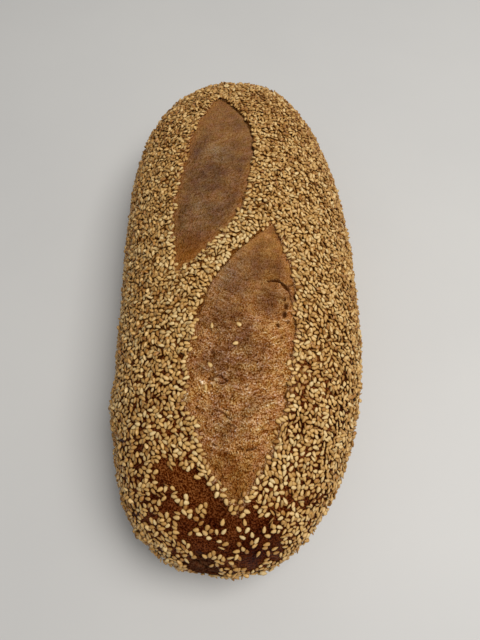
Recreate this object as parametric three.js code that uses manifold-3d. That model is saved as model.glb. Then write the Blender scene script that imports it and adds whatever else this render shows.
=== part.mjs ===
// A sesame bread loaf: long and oval, flat underneath, with two slashes that opened along its top
// and a coat of sesame seeds baked onto the crust.
// Millimetres, +Z up, the loaf's length along Y, the origin in the middle of the flat base.
import * as THREE from "three";
import { mergeVertices, toCreasedNormals } from "three/addons/utils/BufferGeometryUtils.js";
import Module from "manifold-3d";

// The loaf
const LENGTH = 300;
const WIDTH = 129;
const HEIGHT = 75;
const BELLY_HEIGHT = 26; // the widest line round the loaf, above the table
const UNDERSIDE_DEPTH = 1.6; // the round underside before it is cut flat, in belly heights
const NEAR_BLUNTNESS = 3.26; // 2 is an ellipse and more is blunter
const FAR_BLUNTNESS = 2.53;
const SIDE_FULLNESS = 2.3; // how square the plan and the shoulders are
const DOME_FULLNESS = 2;
const TAPER = 0.021; // the near end is this share narrower than the middle
const SWAY = [0.4, -4.4, -9.7, 8.4]; // the centre line's X: a constant, then the first powers of the length
const END_SWING = { by: 8, power: 8 }; // both tips swing towards +X
const SHOULDER = { swell: 1.8, at: -0.505, reach: 0.07 }; // a bulge on the left of the near half
const RINGS = 42;
const SIDES = 48;

// The slashes: each runs from its near tip to its far tip and opens further on one side
const SLASHES = [
  { near: [-0.2, -123.4], far: [17.8, 6.1], left: 29, right: 16 },
  { near: [-29.2, -19.6], far: [-11.4, 108.8], left: 10, right: 28 },
];
const SLASH_FULLNESS = 2.6; // how blunt the ends of an opened slash are
const SLASH_STEP = 2.2; // from the seeded skin down to the crumb beside it
const SLASH_SWELL = 1.8; // the crumb rises by this in the middle of the slash
const SLASH_POINTS = 22; // points along one edge
const SLASH_TOOL = { bottom: 30, top: 100 };

// The sesame seeds
const SEED = { length: 3.2, width: 2, height: 0.8 }; // as they show above the crust
const SEED_ROOT = 0.35; // how deep a seed is baked in
const SEED_TAPER = 0.3; // how much narrower the pointed end is
const SEED_SIDES = 8;
const SEED_LEAN = 0.1; // the steepest a seed leans, in radians
const SEED_SPACING = 9.5;
const SEED_FLOOR = 9; // no seeds closer to the table
const SEED_ENDS = 0.99; // how far towards the ends seeds are tried, in half lengths
const SEED_ARC = { start: -0.15, sweep: 1.3 }; // where they are tried round the section, in half turns
const SEED_TRIES = 20000;
const SEED_LIMIT = 290;
const SLASH_MARGIN = 2.6; // bare crust between a seed's middle and a slash
const BARE_STREAK = { from: [-35, -108], to: [-3, -128], reach: 5 }; // crust with no seeds
const RANDOM_START = 20;

const CRUST = { color: 0xa67c4a, roughness: 0.72, metalness: 0 };
const CREASE_ANGLE = 0.6; // sharper edges than this, in radians, stay crisp
const MERGE_GAP = 1e-4; // vertices closer than this are one vertex

const wasm = await Module();
wasm.setup();

// A power that keeps the sign of its base.
function signedPower(value, power) {
  return Math.sign(value) * Math.abs(value) ** power;
}

// How much of the full section is left at a place along the length, from -1 at the near end to 1.
function sectionShare(along) {
  const bluntness = along < 0 ? NEAR_BLUNTNESS : FAR_BLUNTNESS;
  return Math.max(0, 1 - Math.abs(along) ** bluntness);
}

// A point of the crust: along the length from -1 to 1, and round the section from +X over the top.
function crustPoint(along, angle) {
  const share = sectionShare(along);
  const across = Math.cos(angle);
  const up = Math.sin(angle);
  const shoulder = Math.exp(-(((along - SHOULDER.at) / SHOULDER.reach) ** 2));
  const swell = across < 0 ? SHOULDER.swell * shoulder : 0;
  const halfWidth = (WIDTH / 2) * share ** (1 / SIDE_FULLNESS) * (1 + TAPER * along) + swell;
  const dome = (HEIGHT - BELLY_HEIGHT) * share ** (1 / DOME_FULLNESS);
  const underside = UNDERSIDE_DEPTH * BELLY_HEIGHT * Math.sqrt(share);
  const drift = SWAY.reduce((sum, factor, power) => sum + factor * along ** power, 0);
  const sway = drift + END_SWING.by * along ** END_SWING.power;
  const rise = up > 0 ? dome * up ** (2 / DOME_FULLNESS) : underside * up;
  return new THREE.Vector3(
    sway + halfWidth * signedPower(across, 2 / SIDE_FULLNESS),
    (LENGTH / 2) * along,
    BELLY_HEIGHT + rise,
  );
}

// Where a place lies in a slash: t runs from tip to tip, half is half the opening there,
// and edge is how far the place is outside the opening, below 0 when it is inside.
function placeInSlash(slash, x, y) {
  const near = new THREE.Vector2(...slash.near);
  const chord = new THREE.Vector2(...slash.far).sub(near);
  const length = chord.length();
  chord.normalize();
  const place = new THREE.Vector2(x, y).sub(near);
  const t = place.dot(chord) / length;
  const offset = place.x * chord.y - place.y * chord.x;
  const opening = Math.max(0, 1 - Math.abs(2 * t - 1) ** SLASH_FULLNESS);
  const middle = (opening * (slash.right - slash.left)) / 2;
  const half = (opening * (slash.right + slash.left)) / 2;
  return { t, half, edge: Math.abs(offset - middle) - half };
}

// The crumb in a slash is lower than the skin at its edge and swells in its middle.
function slashDepth(x, y) {
  let depth = SLASH_STEP;
  for (const slash of SLASHES) {
    const { half, edge } = placeInSlash(slash, x, y);
    if (edge < 0) {
      const m = 1 + edge / half;
      depth = SLASH_STEP - SLASH_SWELL * (1 - m ** 2);
    }
  }
  return depth;
}

// A unit sphere with its poles on Y, each vertex moved to the loaf and then lowered.
function loafGeometry(lowering) {
  const geometry = new THREE.SphereGeometry(1, SIDES, RINGS);
  const position = geometry.getAttribute("position");
  for (let i = 0; i < position.count; i += 1) {
    const along = THREE.MathUtils.clamp(position.getY(i), -1, 1);
    const point = crustPoint(along, Math.atan2(position.getZ(i), position.getX(i)));
    position.setXYZ(i, point.x, point.y, point.z - lowering(point));
  }
  return geometry;
}

// The block of air above an opened slash, from its outline seen from above.
function slashGeometry(slash) {
  const near = new THREE.Vector2(...slash.near);
  const chord = new THREE.Vector2(...slash.far).sub(near);
  const right = new THREE.Vector2(chord.y, -chord.x).normalize();
  const edgePoint = (t, bulge) => {
    const opening = 1 - Math.abs(2 * t - 1) ** SLASH_FULLNESS;
    return near.clone().addScaledVector(chord, t).addScaledVector(right, bulge * opening);
  };
  const outline = [];
  for (let i = 0; i < SLASH_POINTS; i += 1) {
    outline.push(edgePoint(i / SLASH_POINTS, slash.right));
  }
  for (let i = SLASH_POINTS; i > 0; i -= 1) {
    outline.push(edgePoint(i / SLASH_POINTS, -slash.left));
  }
  const depth = SLASH_TOOL.top - SLASH_TOOL.bottom;
  const geometry = new THREE.ExtrudeGeometry(new THREE.Shape(outline), { depth, bevelEnabled: false });
  return geometry.translate(0, 0, SLASH_TOOL.bottom);
}

// A teardrop seed lying along Y: a peak over a ring, with the ring baked in under the crust.
function seedGeometry() {
  const geometry = new THREE.SphereGeometry(1, SEED_SIDES, 2).rotateX(Math.PI / 2);
  const position = geometry.getAttribute("position");
  const spread = 1 + SEED_ROOT / SEED.height;
  for (let i = 0; i < position.count; i += 1) {
    const y = position.getY(i);
    position.setXYZ(
      i,
      (position.getX(i) * (1 - SEED_TAPER * y) * spread * SEED.width) / 2,
      (y * spread * SEED.length) / 2,
      position.getZ(i) * spread * SEED.height - SEED_ROOT,
    );
  }
  return geometry;
}

// Closed geometry as a solid that can be joined and cut.
function solidOf(geometry) {
  const bare = geometry.clone();
  bare.deleteAttribute("normal");
  bare.deleteAttribute("uv");
  const merged = mergeVertices(bare, MERGE_GAP);
  return new wasm.Manifold(
    new wasm.Mesh({
      numProp: 3,
      vertProperties: new Float32Array(merged.getAttribute("position").array),
      triVerts: new Uint32Array(merged.index.array),
    }),
  );
}

// A finished solid as geometry, smooth except over its sharper edges.
function geometryOf(solid) {
  const mesh = solid.getMesh();
  const geometry = new THREE.BufferGeometry();
  geometry.setAttribute("position", new THREE.BufferAttribute(mesh.vertProperties, mesh.numProp));
  geometry.setIndex(new THREE.BufferAttribute(mesh.triVerts, 1));
  return toCreasedNormals(geometry, CREASE_ANGLE);
}

// A repeatable run of random numbers from 0 to 1.
function randomRun(start) {
  let state = start;
  return () => {
    state = (state + 0x6d2b79f5) | 0;
    let mixed = Math.imul(state ^ (state >>> 15), 1 | state);
    mixed = (mixed + Math.imul(mixed ^ (mixed >>> 7), 61 | mixed)) ^ mixed;
    return ((mixed ^ (mixed >>> 14)) >>> 0) / 2 ** 32;
  };
}

// Whether the crust is seeded at a point: not low down, in a slash or on the bare streak.
function isSeeded(point) {
  if (point.z < SEED_FLOOR) {
    return false;
  }
  for (const slash of SLASHES) {
    const { t, edge } = placeInSlash(slash, point.x, point.y);
    if (t > 0 && t < 1 && edge < SLASH_MARGIN) {
      return false;
    }
  }
  const streak = new THREE.Line3(
    new THREE.Vector3(...BARE_STREAK.from, 0),
    new THREE.Vector3(...BARE_STREAK.to, 0),
  );
  const place = new THREE.Vector3(point.x, point.y, 0);
  const nearest = streak.closestPointToPoint(place, true, new THREE.Vector3());
  return nearest.distanceTo(place) > BARE_STREAK.reach;
}

// Seeds set down one by one at random, each clear of those before it.
function seedSolids() {
  const random = randomRun(RANDOM_START);
  const nudge = 1e-3;
  const taken = [];
  const seeds = [];
  const geometry = seedGeometry();
  for (let attempt = 0; attempt < SEED_TRIES && seeds.length < SEED_LIMIT; attempt += 1) {
    const along = SEED_ENDS * (2 * random() - 1);
    const angle = Math.PI * (SEED_ARC.start + SEED_ARC.sweep * random());
    const heading = 2 * Math.PI * random();
    const lean = SEED_LEAN * (2 * random() - 1);
    const point = crustPoint(along, angle);
    const clear = taken.every((other) => other.distanceTo(point) > SEED_SPACING);
    if (clear && isSeeded(point)) {
      const round = crustPoint(along, angle + nudge).sub(point);
      const lengthways = crustPoint(along + nudge, angle).sub(point);
      const normal = lengthways.cross(round).normalize();
      const seat = new THREE.Object3D();
      seat.position.copy(point);
      seat.quaternion.setFromUnitVectors(new THREE.Vector3(0, 0, 1), normal);
      seat.rotateZ(heading);
      seat.rotateX(lean);
      seat.updateMatrix();
      taken.push(point);
      seeds.push(solidOf(geometry.clone().applyMatrix4(seat.matrix)));
    }
  }
  return seeds;
}

// The loaf cut flat where it stands, with the two slashes opened in it.
function bakedLoaf() {
  const crust = solidOf(loafGeometry(() => 0));
  const crumb = solidOf(loafGeometry((point) => slashDepth(point.x, point.y)));
  const below = new THREE.BoxGeometry(2 * WIDTH, 2 * LENGTH, HEIGHT).translate(0, 0, -HEIGHT / 2);
  let loaf = crust.subtract(solidOf(below));
  for (const slash of SLASHES) {
    loaf = loaf.subtract(solidOf(slashGeometry(slash)).subtract(crumb));
  }
  return loaf;
}

// Seeds joined to the crust they are baked on; a scrap left loose by the joining is dropped.
function seededLoaf() {
  let loaf = bakedLoaf();
  for (const seed of seedSolids()) {
    loaf = loaf.add(seed);
  }
  const pieces = loaf.decompose();
  pieces.sort((a, b) => b.volume() - a.volume());
  return pieces[0];
}

const group = new THREE.Group();
group.name = "sesame_bread_loaf";
const loaf = new THREE.Mesh(geometryOf(seededLoaf()), new THREE.MeshStandardMaterial(CRUST));
loaf.name = "loaf";
group.add(loaf);

export default group;
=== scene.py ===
# %% [markdown]
# # A sesame loaf
# A long hearth loaf, slashed twice along its top and coated in sesame before it went into the oven.
# Its solid already exists and gives the size and the place. This lesson dresses it in three layers: the dark
# crust, the browned crumb that swelled out of the slashes, and a coat of almost thirteen thousand seeds.

# %% Load the solid as a fixed frame
import math

import bpy
import numpy as np
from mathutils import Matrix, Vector, noise


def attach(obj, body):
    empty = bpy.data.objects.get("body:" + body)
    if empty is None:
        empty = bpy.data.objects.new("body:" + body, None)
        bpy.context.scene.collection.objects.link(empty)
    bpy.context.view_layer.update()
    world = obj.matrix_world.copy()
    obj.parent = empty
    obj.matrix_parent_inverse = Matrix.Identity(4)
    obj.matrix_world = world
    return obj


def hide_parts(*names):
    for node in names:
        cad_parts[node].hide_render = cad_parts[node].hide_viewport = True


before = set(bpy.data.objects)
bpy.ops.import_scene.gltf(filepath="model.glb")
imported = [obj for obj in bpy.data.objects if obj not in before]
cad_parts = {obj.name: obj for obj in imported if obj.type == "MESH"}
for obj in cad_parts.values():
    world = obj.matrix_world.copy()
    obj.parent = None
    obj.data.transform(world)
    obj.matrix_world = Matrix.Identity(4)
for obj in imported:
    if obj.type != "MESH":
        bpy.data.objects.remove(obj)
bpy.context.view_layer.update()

# %% [markdown]
# ## The loaf's form
# Dough rolled into a log slumps, then springs up in the oven: oval from above, domed across, flat below.
# A sculpted or subdivided mesh could show that, but a formula follows the solid exactly, and every later
# step can ask it for a point and a direction anywhere on the loaf. Blender works in metres, so each size
# is written in millimetres and multiplied by MM.

# %% Driving sizes of the loaf
MM = 0.001
LENGTH = 300 * MM
WIDTH = 129 * MM
HEIGHT = 75 * MM
BELLY_HEIGHT = 26 * MM  # the widest line round the loaf, above the floor
UNDERSIDE_DEPTH = 1.6  # the round underside before it is cut flat, in belly heights
NEAR_BLUNTNESS = 3.26  # 2 is an ellipse and more is blunter
FAR_BLUNTNESS = 2.53
SIDE_FULLNESS = 2.3
DOME_FULLNESS = 2.0
TAPER = 0.021  # the near end is this share narrower than the middle
SWAY = (0.4 * MM, -4.4 * MM, -9.7 * MM, 8.4 * MM)  # the centre line's X, by powers of the length
END_SWING = 8 * MM  # both tips swing towards +X
END_SWING_POWER = 8  # so high a power of the length that only the tips swing
SHOULDER_SWELL = 1.8 * MM  # a bulge on the left of the near half
SHOULDER_AT = -0.505
SHOULDER_REACH = 0.07
print(f"Loaf {LENGTH:.3f} m long, {WIDTH:.3f} m wide, {HEIGHT:.3f} m high")

# %% Points and directions on the crust
NORMAL_STEP = 1e-4
TINY = 1e-15  # keeps a division by nothing from failing


def bell(distance, reach):
    """1 in the middle, falling off smoothly as the distance grows."""
    return np.exp(-((distance / reach) ** 2))


def loaf_section(along):
    """Half widths right and left, dome height, underside depth and sway, from -1 to 1 along the loaf."""
    bluntness = np.where(along < 0, NEAR_BLUNTNESS, FAR_BLUNTNESS)
    share = np.clip(1 - np.abs(along) ** bluntness, 0, 1)
    half = WIDTH / 2 * share ** (1 / SIDE_FULLNESS) * (1 + TAPER * along)
    swell = SHOULDER_SWELL * bell(along - SHOULDER_AT, SHOULDER_REACH)
    dome = (HEIGHT - BELLY_HEIGHT) * share ** (1 / DOME_FULLNESS)
    underside = UNDERSIDE_DEPTH * BELLY_HEIGHT * np.sqrt(share)
    sway = sum(factor * along**power for power, factor in enumerate(SWAY))
    sway = sway + END_SWING * along**END_SWING_POWER
    return half, half + swell, dome, underside, sway


def crust_points(along, angle):
    """Points of the smooth crust: along the loaf, and round its section from +X over the top."""
    along, angle = np.broadcast_arrays(along, angle)
    right, left, dome, underside, sway = loaf_section(along)
    across, up = np.cos(angle), np.sin(angle)
    half = np.where(across < 0, left, right)
    x = sway + half * np.sign(across) * np.abs(across) ** (2 / SIDE_FULLNESS)
    rise = np.where(up > 0, dome * np.abs(up) ** (2 / DOME_FULLNESS), underside * up)
    return np.stack([x, LENGTH / 2 * along, np.maximum(BELLY_HEIGHT + rise, 0)], axis=-1)


def crust_normals(along, angle):
    """Outward directions at the same places, from two short steps on the surface."""
    round_step = crust_points(along, angle + NORMAL_STEP) - crust_points(along, angle - NORMAL_STEP)
    ahead = crust_points(np.minimum(along + NORMAL_STEP, 1), angle)
    behind = crust_points(np.maximum(along - NORMAL_STEP, -1), angle)
    normal = np.cross(ahead - behind, round_step)
    return normal / np.maximum(np.linalg.norm(normal, axis=-1, keepdims=True), TINY)


def crust_height(x, y):
    """Height of the crust's upper side straight above a place on the floor."""
    right, left, dome, _, sway = loaf_section(np.clip(y / (LENGTH / 2), -1, 1))
    half = np.maximum(np.where(x < sway, left, right), TINY)
    across = np.clip(np.abs(x - sway) / half, 0, 1) ** SIDE_FULLNESS
    return BELLY_HEIGHT + dome * np.clip(1 - across, 0, 1) ** (1 / DOME_FULLNESS)


print("Crust above the origin:", round(float(crust_height(0.0, 0.0)) / MM, 1), "mm")

# %% Noise, ramps and distances at many points
def rough(points, size, shift=0.0):
    """Smooth noise, about -1 to 1, with bumps of the given size; another shift gives another pattern."""
    places = (np.asarray(points) / size + shift).reshape(-1, 3).tolist()
    return np.array([noise.noise(place) for place in places]).reshape(np.shape(points)[:-1])


def ramp(start, end, value):
    """0 before the start, 1 past the end and a smooth curve between; the end may be the lower one."""
    share = np.clip((value - start) / (end - start), 0, 1)
    return share * share * (3 - 2 * share)


def on_floor(x, y):
    """Places on the floor as points, for noise that ignores height."""
    return np.stack([x, y, np.zeros_like(x)], axis=-1)


def from_line(x, y, corners):
    """Distance from a bent line, given by X, Y and half its width at each corner in millimetres."""
    nearest = np.full(np.shape(x), np.inf)
    for a, b in zip(corners, corners[1:]):
        ax, ay, a_half, bx, by, b_half = (value * MM for value in (*a, *b))
        share = ((x - ax) * (bx - ax) + (y - ay) * (by - ay)) / ((bx - ax) ** 2 + (by - ay) ** 2)
        share = np.clip(share, 0, 1)
        away = np.hypot(x - ax - share * (bx - ax), y - ay - share * (by - ay))
        nearest = np.minimum(nearest, away - a_half - share * (b_half - a_half))
    return nearest


def slopes_at(form, x, y, step):
    """How fast a form changes along X and along Y, from short steps both ways."""
    slope_x = (form(x + step, y) - form(x - step, y)) / (2 * step)
    slope_y = (form(x, y + step) - form(x, y - step)) / (2 * step)
    return slope_x, slope_y


print("Noise at a sample point:", round(float(rough(np.array([[0.01, 0.02, 0.0]]), 9 * MM)[0]), 3))

# %% [markdown]
# ## The slashes
# A baker cuts the risen loaf with a blade, and each cut opens in the oven into a long leaf shape that leans
# to one side. Drawing two curves would do, but the same formula as in the solid lets the crust, the crumb
# and the seeds all ask one question: how far is this place from the edge of a slash?

# %% Where the slashes lie
# Both tips, the bulge of each edge, and the edge that lifted into an ear: -1 is left and 1 is right
SLASHES = {
    "near": {
        "from": (-0.2 * MM, -123.4 * MM),
        "to": (17.8 * MM, 6.1 * MM),
        "left": 29 * MM,
        "right": 16 * MM,
        "ear": -1,
    },
    "far": {
        "from": (-29.2 * MM, -19.6 * MM),
        "to": (-11.4 * MM, 108.8 * MM),
        "left": 10 * MM,
        "right": 28 * MM,
        "ear": 1,
    },
}
SLASH_FULLNESS = 2.6


def slash_axes(slash):
    """Start, unit direction, unit right-hand direction and length of a slash, seen from above."""
    start, end = np.array(slash["from"]), np.array(slash["to"])
    length = float(np.linalg.norm(end - start))
    direction = (end - start) / length
    return start, direction, np.array([direction[1], -direction[0]]), length


def slash_opening(slash, lengthwise):
    """Offset of the middle from the line of tips, and half the width, from 0 to 1 lengthwise."""
    opening = np.clip(1 - np.abs(2 * lengthwise - 1) ** SLASH_FULLNESS, 0, 1)
    middle = opening * (slash["right"] - slash["left"]) / 2
    return middle, opening * (slash["right"] + slash["left"]) / 2


def slash_place(slash, x, y):
    """Place lengthwise from tip to tip, place crosswise from -1 to 1, and distance outside the edge."""
    start, direction, right, length = slash_axes(slash)
    lengthwise = ((x - start[0]) * direction[0] + (y - start[1]) * direction[1]) / length
    offset = (x - start[0]) * right[0] + (y - start[1]) * right[1]
    middle, half = slash_opening(slash, lengthwise)
    bulge = np.where(offset > middle, slash["right"], slash["left"])
    lean = np.abs(2 * lengthwise - 1)
    slope = bulge * 2 * SLASH_FULLNESS * lean ** (SLASH_FULLNESS - 1) / length
    distance = (np.abs(offset - middle) - half) / np.sqrt(1 + slope**2)
    overshoot = length * np.maximum(np.maximum(-lengthwise, lengthwise - 1), 0)
    distance = np.where(overshoot > 0, np.hypot(offset, overshoot), distance)
    return lengthwise, (offset - middle) / np.maximum(half, TINY), distance


for name, slash in SLASHES.items():
    print(f"The {name} slash is {slash_axes(slash)[3] / MM:.0f} mm long")

# %% Their torn and lifted edges
EDGE_WANDER = 0.8 * MM  # how far a torn edge strays from the leaf shape
LONG_WAVES = 8 * MM
SHORT_WAVES = 2.6 * MM
SHORT_WAVE_SHARE = 0.5
LEDGES = ((-18.5, -92.5, 2.8, 4.0), (-22.5, -80.5, -2.6, 3.0))  # X, Y, reach over the crumb and size, in mm
EAR_START = (0.5, 0.65)  # an ear rises between these places lengthwise
EAR_SIDE = (0.3, 0.7)  # towards its own edge
EAR_END = (0.95, 1.0)  # and ends at the far tip
EAR_NEARBY = 4 * MM


def outside_slashes(x, y):
    """Distance outside the nearest slash, below 0 inside it, with the torn edge's wander."""
    nearest = np.minimum(*[slash_place(slash, x, y)[2] for slash in SLASHES.values()])
    wander = rough(on_floor(x, y), LONG_WAVES) + SHORT_WAVE_SHARE * rough(on_floor(x, y), SHORT_WAVES, 5.0)
    nearest = nearest + EDGE_WANDER * wander
    for ledge_x, ledge_y, reach, size in LEDGES:
        away = np.hypot(x - ledge_x * MM, y - ledge_y * MM)
        nearest = nearest + reach * MM * bell(away, size * MM)
    return nearest


def ear_share(slash, lengthwise, crosswise):
    """1 along the lifted edge in the far half of a slash, fading to 0 elsewhere."""
    side = ramp(*EAR_SIDE, crosswise * slash["ear"])
    return ramp(*EAR_START, lengthwise) * side * (1 - ramp(*EAR_END, lengthwise))


def ears_near(x, y):
    """1 close to the lifted edge of either slash, fading to 0 elsewhere."""
    ears = np.zeros(np.shape(x))
    for slash in SLASHES.values():
        lengthwise, crosswise, distance = slash_place(slash, x, y)
        close = np.abs(distance) < EAR_NEARBY
        ears = np.maximum(ears, ear_share(slash, lengthwise, crosswise) * close)
    return ears


origin = np.zeros(1)
print(f"The origin lies {float(outside_slashes(origin, origin)[0]) / MM:.1f} mm outside the slashes")

# %% [markdown]
# ## The crust
# The crust is one closed skin. A grid of rings round the loaf is easy to make from arrays: each ring is a
# section of the formula. Where a ring's point lies almost on the edge of a slash it is moved onto the edge,
# so that the skin ends there in a clean line, and points inside the slash drop to make room for the crumb.

# %% Rings of points round the loaf
RING_COUNT = 320  # the rings lie closer together towards both ends
TOP_SIDES = 200  # more points over the top than under the loaf
LOW_SIDES = 48
COAT = 1.1 * MM  # the skin lies this far below the form, which the seeds fill
CRUST_LUMP = 0.5 * MM
LUMP_SIZE = 15 * MM
CRUST_WRINKLE = 0.16 * MM
WRINKLE_SIZE = 3.2 * MM
BASE_FADE = (2 * MM, 12 * MM)  # heights between which all this fades out, to leave the base flat


def skin_lift(points):
    """How far lumps and wrinkles lift the skin from the smooth form, less the room for the coat."""
    lumps = CRUST_LUMP * rough(points, LUMP_SIZE) + CRUST_WRINKLE * rough(points, WRINKLE_SIZE, 2.0)
    return (lumps - COAT) * ramp(*BASE_FADE, points[..., 2])


ring_along = -np.cos(np.linspace(0, np.pi, RING_COUNT + 1))[1:-1, None]
top_angles = np.linspace(0, np.pi, TOP_SIDES, endpoint=False)
low_angles = np.linspace(np.pi, 2 * np.pi, LOW_SIDES, endpoint=False)
ring_angle = np.concatenate([top_angles, low_angles])[None, :]
skin = crust_points(ring_along, ring_angle)
skin_normals = crust_normals(ring_along, ring_angle)
lift = skin_lift(skin)
print("Crust grid:", skin.shape[0], "rings of", skin.shape[1], "points")

# %% Fold the pinched end under
FOLD_MIDDLE = (-15 * MM, 35 * MM)  # X and height
FOLD_REACH = (7.5 * MM, 11 * MM)
FOLD_RIM = (1.3, 0.6)  # it fades in between these shares of its reach
FOLD_FRONT = (-128 * MM, -137 * MM)  # and between these places along the loaf
FOLD_WANDER = 3 * MM  # how far its rim strays
FOLD_WAVES = 5 * MM
FOLD_DEPTH = 0.9 * MM
CRUMPLE = 0.9 * MM
CRUMPLE_SIZE = 2.8 * MM
FINE_CRUMPLE = 0.4 * MM
FINE_CRUMPLE_SIZE = 1.3 * MM
CREASE_DEPTH = 1.3 * MM
CREASE_SPACING = 4.5 * MM
CREASE_WIDTH = 0.1  # a crease runs where the noise is closer to 0 than this
LEVEL_CRUMPLE = np.array([0.4, 0.4, 1.0])  # stretches the noise sideways, so the wrinkles lie level
LEVEL_CREASE = np.array([0.4, 0.4, 1.2])


def pinched_end(points):
    """1 where the log's pinched near end shows between the seeds, fading to 0 round it."""
    wavy_x = points[..., 0] - FOLD_MIDDLE[0] + FOLD_WANDER * rough(points, FOLD_WAVES, 9.0)
    wavy_z = points[..., 2] - FOLD_MIDDLE[1] + FOLD_WANDER * rough(points, FOLD_WAVES, 19.0)
    away = np.hypot(wavy_x / FOLD_REACH[0], wavy_z / FOLD_REACH[1])
    return ramp(*FOLD_RIM, away) * ramp(*FOLD_FRONT, points[..., 1])


pinch = pinched_end(skin)
crumple = CRUMPLE * rough(skin * LEVEL_CRUMPLE, CRUMPLE_SIZE, 8.0)
crumple = crumple + FINE_CRUMPLE * rough(skin, FINE_CRUMPLE_SIZE, 9.0)
# creases sink into the fold, and the same mask paints shade into them
crease_and_shade = pinch * bell(rough(skin * LEVEL_CREASE, CREASE_SPACING, 8.5), CREASE_WIDTH)
lift += pinch * (crumple - FOLD_DEPTH) - CREASE_DEPTH * crease_and_shade
skin = skin + skin_normals * lift[..., None]
skin[..., 2] = np.maximum(skin[..., 2], 0)
print("Folded crust:", int((pinch > 0.3).sum()), "points")

# %% Open the slashes in the skin
UPWARDS = 0.3  # on the upper side the sine of the angle, or the Z of the direction, is above this
FAR_OFF = 1.0  # the rest counts as this many metres from any slash
EDGE_PROBE = 0.05 * MM
LEAST_STEEPNESS = 0.2  # keeps points from flying off where the edge turns sharply
SNAP_REACH = 0.62 * MM  # half a grid step
SLASH_ROOM = 4.5 * MM  # how far the skin's floor drops under the crumb
FIRST_DROP = 0.45  # the share of it that comes right at the edge
DROP_REACH = 1.4 * MM
LIP_RISE = 0.55 * MM
LIP_REACH = 3 * MM

upper = np.broadcast_to(np.sin(ring_angle) > UPWARDS, skin.shape[:2])
x, y = skin[..., 0], skin[..., 1]
outside = np.where(upper, outside_slashes(x, y), FAR_OFF)
slope_x, slope_y = slopes_at(outside_slashes, x, y, EDGE_PROBE)
steepness = np.maximum(slope_x**2 + slope_y**2, LEAST_STEEPNESS)
on_edge = np.abs(outside) < SNAP_REACH
edge_x = x - outside * slope_x / steepness
edge_y = y - outside * slope_y / steepness
edge_z = crust_height(edge_x, edge_y) + lift
edge_points = np.stack([edge_x, edge_y, edge_z], axis=-1)
skin = np.where(on_edge[..., None], edge_points, skin)
distance = np.where(on_edge, 0.0, outside)
drop = SLASH_ROOM * np.clip(FIRST_DROP - distance / DROP_REACH, 0, 1)
rise = LIP_RISE * np.exp(-np.abs(distance) / LIP_REACH)
skin[..., 2] += np.where(distance < 0, -drop, np.where(upper, rise, 0))
print("Points on the slash edges:", int(on_edge.sum()))

# %% Find the stretched streak, the sheltered crust and the slashes' rims
# A bare streak beside the near slash: X, Y and half its width at each corner, in millimetres
STREAK = (
    (-34, -107, 1), (-28, -110.5, 2.4), (-23, -113, 3.4), (-17, -116.5, 3.6),
    (-11, -120.5, 3), (-5.5, -125.5, 2.8), (-3, -131, 2.2), (-3, -136, 1.2),
)
STREAK_RIM = (3 * MM, -1.5 * MM)
STREAK_DULLER = 0.65  # its satin colour, partly a painted sheen, fades by this share
STREAK_DULL_END = (-22 * MM, -6 * MM)  # between these places across the loaf
SHELTER = (-85 * MM, -10 * MM)  # places along the loaf between which the coat grows thick
RIM_REACH = 2.2 * MM

# the streak's lighter colour is partly a painted sheen
stretched = ramp(*STREAK_RIM, from_line(x, y, STREAK)) * upper
stretched = stretched * (1 - STREAK_DULLER * ramp(*STREAK_DULL_END, x))
sheltered = ramp(*SHELTER, y)  # a thick coat kept the crust paler; this also paints light into the shaded gaps
rim = np.exp(-np.maximum(distance, 0) / RIM_REACH) * upper * (1 - ears_near(x, y))
print("Points on the streak:", int((stretched > 0.5).sum()))

# %% Join the rings into one closed skin
def make_piece(name, points, faces):
    """A smooth mesh object from an array of points and lists of faces."""
    mesh = bpy.data.meshes.new(name)
    mesh.from_pydata(np.asarray(points).reshape(-1, 3).tolist(), [], faces)
    mesh.shade_smooth()
    piece = bpy.data.objects.new(name, mesh)
    bpy.context.scene.collection.objects.link(piece)
    return piece


def paint(piece, name, values):
    """Stores one number for each point, for the material to read by name."""
    layer = piece.data.attributes.new(name, "FLOAT", "POINT")
    layer.data.foreach_set("value", np.asarray(values, dtype=np.float32).ravel())


def tube_faces(rings, sides):
    """Quads between rings of points that close on themselves."""
    index = np.arange(rings * sides).reshape(rings, sides)
    turned = np.roll(index, -1, axis=1)
    return np.stack([index[:-1], turned[:-1], turned[1:], index[1:]], axis=-1).reshape(-1, 4).tolist()


rings, sides = skin.shape[:2]
tips = skin[[0, -1]].mean(axis=1)
near_tip, far_tip = rings * sides, rings * sides + 1
last = (rings - 1) * sides
crust_faces = [face[::-1] for face in tube_faces(rings, sides)]
crust_faces += [[near_tip, i, (i + 1) % sides] for i in range(sides)]
crust_faces += [[far_tip, last + (i + 1) % sides, last + i] for i in range(sides)]
crust = make_piece("loaf_crust", np.concatenate([skin.reshape(-1, 3), tips]), crust_faces)
crust_facts = {
    "pinch": pinch,
    "crease_and_shade": crease_and_shade,
    "edge": rim,
    "stretched": stretched,
    "sheltered": sheltered,
}
for fact, values in crust_facts.items():
    paint(crust, fact, np.append(values.ravel(), [0, 0]))
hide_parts("loaf")
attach(crust, "root")
print("Crust:", len(crust.data.polygons), "faces")

# %% [markdown]
# ## The crumb in the slashes
# Where the skin was cut, moist dough swelled out and browned without a coat of seeds: a matte, finely grained
# surface, torn in places, that dips where it meets the skin. It could be sculpted, but a grid of its own,
# laid out from tip to tip and from edge to edge of its slash, follows the leaf shape and takes fine relief.

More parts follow.
